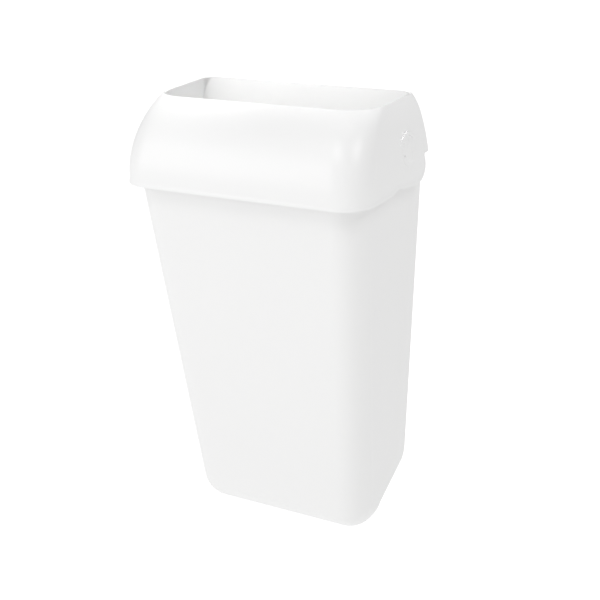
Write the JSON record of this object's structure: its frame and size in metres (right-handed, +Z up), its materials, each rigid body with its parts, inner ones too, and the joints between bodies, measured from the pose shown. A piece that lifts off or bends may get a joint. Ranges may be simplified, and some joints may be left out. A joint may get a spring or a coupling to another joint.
{
  "type": "waste bin",
  "caption": "Wall-hung waste bin: a tapered moulded body on a hook bracket, with an open-topped hinged hood that hides the edge of the bag.",
  "frame": {"origin": "centre of the wall bracket's four screw holes, on the wall plane", "axes": "+X to the right seen from the front, +Y into the wall, +Z up"},
  "size_m": [0.3304, 0.196, 0.554],
  "materials": {
    "body_plastic": "white moulded plastic, satin gloss",
    "hood_plastic": "white moulded plastic, satin gloss",
    "cap_plastic": "white moulded plastic, smooth",
    "bush_plastic": "natural acetal",
    "clip_plastic": "white matt plastic",
    "bracket_steel": "light powder coat over sheet steel",
    "bare_steel": "zinc plated",
    "wire": "stainless wire",
    "rubber": "dark soft rubber"
  },
  "bodies": {
    "bracket": {"wall_bracket": "bracket_steel"},
    "bin": {"bin_body": "body_plastic", "hanger_plate": "bare_steel", "hanger_rivets": "bare_steel", "wall_pads": "rubber", "bag_frame": "wire", "bag_frame_clips": "clip_plastic", "hinge_bush_left": "bush_plastic", "hinge_bush_right": "bush_plastic"},
    "hood": {"hood": "hood_plastic", "hinge_pin_left": "bare_steel", "hinge_pin_right": "bare_steel", "pin_clip_left": "bare_steel", "pin_clip_right": "bare_steel", "hinge_cap_left": "cap_plastic", "hinge_cap_right": "cap_plastic", "hood_buffers": "rubber"}
  },
  "joints": [
    {"name": "bin_lift", "type": "slide", "parent": "bracket", "child": "bin", "axis": [0, 0, 1], "range_m": [0, 0.0127]},
    {"name": "hood_tilt", "type": "hinge", "parent": "bin", "child": "hood", "pos_m": [0, -0.066, 0.083], "axis": [-1, 0, 0], "range_deg": [0, 16]}
  ]
}
